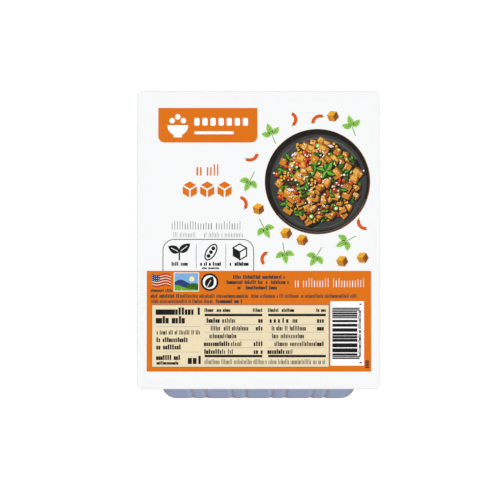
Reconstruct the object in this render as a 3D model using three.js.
// A heat-sealed tofu pack: a fluted, thermoformed plastic tray, full to the brim, under a printed lidding film.
// Millimetres, +Z up. The origin is on the table, under the middle of the pack. +Y runs towards the head of the print.
import * as THREE from "three";

// The film sets the pack's outline.
const FILM_WIDTH = 116;
const FILM_LENGTH = 149.4;
const FILM_CORNER = 2.2;
const FILM_THICKNESS = 0.4;
const FILM_OVERHANG = 0.3; // the film is trimmed this far outside the flange
const FILM_GAP = 0.3; // between the flange's top and the film, so that the two solids stay apart

// The tray. An inset is measured from the film's edge to the tray's face.
const TRAY_HEIGHT = 43;
const FLANGE_THICKNESS = 0.8;
const BASE_INSET_SIDE = 11.9;
const BASE_INSET_END = 8.4;
const BASE_CORNER = 7.1; // plan radius of the wall's corners
const BASE_FILLET = 3;
const DRAFT = THREE.MathUtils.degToRad(2.2);

// A shoulder under the flange stops nested trays from sticking together.
const SHOULDER_BOTTOM = 36;
const SHOULDER_TOP = 37.2;
const SHOULDER_STEP = 0.9;

// Flutes: each rib is a narrow panel between two pressed grooves.
const RIB_PITCH = 19.25;
const RIBS_ON_END = 4;
const RIBS_ON_SIDE = 6;
const RIB_HALF_WIDTH = 3.3; // from the rib's middle to a groove's middle
const GROOVE_HALF_WIDTH = 1.7;
const GROOVE_DEPTH = 0.4;
const FLUTE_FADE = 3.5; // the flutes run out over this height, below the shoulder
const FLUTE_SHARE_IN_FADE = 0.6; // of their full depth, halfway up the fade
const FLUTE_SHARE_AT_BASE = 0.15; // of their full depth, where the fillet meets the base
const FAN = 0.0016; // the flutes fan out up the wall, by this share for each millimetre of height
const FAN_MIDDLE = 19.5; // the height where they stand at their pitch

// The base stands on a rim round a shallow recess.
const BASE_RIM = 9;
const RECESS_DEPTH = 0.9;
const RECESS_SLOPE = 1.5;
const RECESS_CORNER = 4;

const CORNER_STEPS = 8;
const FILLET_STEPS = 3;

const UP = new THREE.Vector3(0, 0, 1);

// The middles of `count` ribs along a wall.
function ribMiddles(count) {
  return Array.from({ length: count }, (_, i) => (i - (count - 1) / 2) * RIB_PITCH);
}

// Where an outline needs a point along a wall with `count` ribs, from its middle: five across each groove.
function wallPlaces(count) {
  const across = [-1, -0.5, 0, 0.5, 1].map((share) => share * GROOVE_HALF_WIDTH);
  return ribMiddles(count).flatMap((middle) =>
    [-1, 1].flatMap((side) => across.map((x) => middle + side * RIB_HALF_WIDTH + x)),
  );
}

// How far a fluted wall stands out at a place along it, compared with a plain wall: less than nothing in a groove.
function fluteOffset(place, count) {
  const away = Math.min(...ribMiddles(count).map((middle) => Math.abs(place - middle)));
  const fromGroove = Math.abs(away - RIB_HALF_WIDTH);
  if (fromGroove >= GROOVE_HALF_WIDTH) {
    return 0;
  }
  return -GROOVE_DEPTH * (0.5 + 0.5 * Math.cos((Math.PI * fromGroove) / GROOVE_HALF_WIDTH));
}

// One closed outline of the tray: a rounded rectangle at height z, anticlockwise from above. `flute` is 0 for a plain
// wall and 1 for full flutes. Every outline has the same number of points, so that any two join into a band.
function outline({ z, halfWidth, halfLength, corner, flute = 0 }) {
  const flatX = halfWidth - corner;
  const flatY = halfLength - corner;
  const reference = baseOutline();
  const sides = [
    { turn: 0, out: halfLength, flat: flatX, full: reference.flatX, ribs: RIBS_ON_END },
    { turn: 1, out: halfWidth, flat: flatY, full: reference.flatY, ribs: RIBS_ON_SIDE },
    { turn: 2, out: halfLength, flat: flatX, full: reference.flatX, ribs: RIBS_ON_END },
    { turn: 3, out: halfWidth, flat: flatY, full: reference.flatY, ribs: RIBS_ON_SIDE },
  ];
  const fan = 1 + FAN * (z - FAN_MIDDLE);
  const points = [];
  for (const { turn, out, flat, full, ribs } of sides) {
    const angle = (turn * Math.PI) / 2;
    // The wall is laid out as the front one, which faces -Y, and is then turned to its side.
    for (const place of wallPlaces(ribs)) {
      const stand = out + flute * fluteOffset(place, ribs);
      points.push(new THREE.Vector3((place * fan * flat) / full, -stand, z).applyAxisAngle(UP, angle));
    }
    for (let i = 0; i <= CORNER_STEPS; i++) {
      const swing = ((i / CORNER_STEPS) * Math.PI) / 2;
      const x = flat + corner * Math.sin(swing);
      const y = -(out - corner) - corner * Math.cos(swing);
      points.push(new THREE.Vector3(x, y, z).applyAxisAngle(UP, angle));
    }
  }
  return points;
}

// The plain outline just above the base, which the other outlines are set out from.
function baseOutline() {
  const halfWidth = FILM_WIDTH / 2 - BASE_INSET_SIDE;
  const halfLength = FILM_LENGTH / 2 - BASE_INSET_END;
  return {
    halfWidth,
    halfLength,
    corner: BASE_CORNER,
    flatX: halfWidth - BASE_CORNER,
    flatY: halfLength - BASE_CORNER,
  };
}

// The outline of the base, moved out by `grow` all round. The walls' corners keep their radius as the walls spread.
function grown(grow, z, flute) {
  const base = baseOutline();
  return outline({
    z,
    halfWidth: base.halfWidth + grow,
    halfLength: base.halfLength + grow,
    corner: Math.max(base.corner + Math.min(grow, 0), RECESS_CORNER),
    flute,
  });
}

// How far the drafted wall has moved out at height z.
function draftAt(z) {
  return z * Math.tan(DRAFT);
}

// The tray's outlines in order: out across the base, up the wall, and out and up round the flange.
function trayOutlines() {
  const recess = [
    grown(-BASE_FILLET - BASE_RIM - RECESS_SLOPE, RECESS_DEPTH, 0),
    grown(-BASE_FILLET - BASE_RIM, 0, 0),
  ];
  const fillet = Array.from({ length: FILLET_STEPS + 1 }, (_, i) => {
    const swing = ((i / FILLET_STEPS) * Math.PI) / 2;
    const z = BASE_FILLET * (1 - Math.cos(swing));
    const flute = THREE.MathUtils.lerp(FLUTE_SHARE_AT_BASE, 1, i / FILLET_STEPS);
    return grown(draftAt(z) - BASE_FILLET * (1 - Math.sin(swing)), z, flute);
  });
  const fadeStart = SHOULDER_BOTTOM - FLUTE_FADE;
  const fadeMiddle = SHOULDER_BOTTOM - FLUTE_FADE / 2;
  const wall = [
    grown(draftAt(fadeStart), fadeStart, 1),
    grown(draftAt(fadeMiddle), fadeMiddle, FLUTE_SHARE_IN_FADE),
    grown(draftAt(SHOULDER_BOTTOM), SHOULDER_BOTTOM, 0),
  ];
  const flangeBottom = TRAY_HEIGHT - FLANGE_THICKNESS;
  const shoulder = [
    grown(draftAt(SHOULDER_TOP) + SHOULDER_STEP, SHOULDER_TOP, 0),
    grown(draftAt(flangeBottom) + SHOULDER_STEP, flangeBottom, 0),
  ];
  const flange = [flangeBottom, TRAY_HEIGHT].map((z) =>
    outline({
      z,
      halfWidth: FILM_WIDTH / 2 - FILM_OVERHANG,
      halfLength: FILM_LENGTH / 2 - FILM_OVERHANG,
      corner: FILM_CORNER,
    }),
  );
  return [...recess, ...fillet, ...wall, ...shoulder, ...flange];
}

// A closed solid from stacked outlines: a band between each pair, and a fan over the first and the last.
function loft(outlines) {
  const count = outlines[0].length;
  const first = new THREE.Vector3(0, 0, outlines[0][0].z);
  const last = new THREE.Vector3(0, 0, outlines.at(-1)[0].z);
  const points = [...outlines.flat(), first, last];
  const middleOfFirst = points.length - 2;
  const middleOfLast = points.length - 1;
  const top = (outlines.length - 1) * count;
  const index = [];
  for (let i = 0; i < count; i++) {
    const next = (i + 1) % count;
    index.push(middleOfFirst, next, i);
    index.push(middleOfLast, top + i, top + next);
    for (let row = 0; row < top; row += count) {
      index.push(row + i, row + next, row + count + next);
      index.push(row + i, row + count + next, row + count + i);
    }
  }
  return new THREE.BufferGeometry().setFromPoints(points).setIndex(index);
}

// The tray with its food and water, as one solid: it is shut, and its plastic is opaque.
function makeTray() {
  const finish = new THREE.MeshStandardMaterial({ color: 0x8f9dc3, roughness: 0.38, metalness: 0 });
  const mesh = new THREE.Mesh(loft(trayOutlines()), finish);
  mesh.name = "tray";
  return mesh;
}

// The lidding film: a thin sheet with rounded corners, sealed to the flange all round.
function makeFilm() {
  const x = FILM_WIDTH / 2 - FILM_CORNER;
  const y = FILM_LENGTH / 2 - FILM_CORNER;
  const shape = new THREE.Shape()
    .absarc(x, y, FILM_CORNER, 0, Math.PI / 2)
    .absarc(-x, y, FILM_CORNER, Math.PI / 2, Math.PI)
    .absarc(-x, -y, FILM_CORNER, Math.PI, 1.5 * Math.PI)
    .absarc(x, -y, FILM_CORNER, 1.5 * Math.PI, 2 * Math.PI);
  const geometry = new THREE.ExtrudeGeometry(shape, {
    depth: FILM_THICKNESS,
    bevelEnabled: false,
    curveSegments: CORNER_STEPS,
  });
  const finish = new THREE.MeshStandardMaterial({ color: 0xf8f9fa, roughness: 0.3, metalness: 0 });
  const mesh = new THREE.Mesh(geometry, finish);
  mesh.name = "lid_film";
  mesh.position.z = TRAY_HEIGHT + FILM_GAP;
  return mesh;
}

const pack = new THREE.Group();
pack.add(makeTray(), makeFilm());

export default pack;
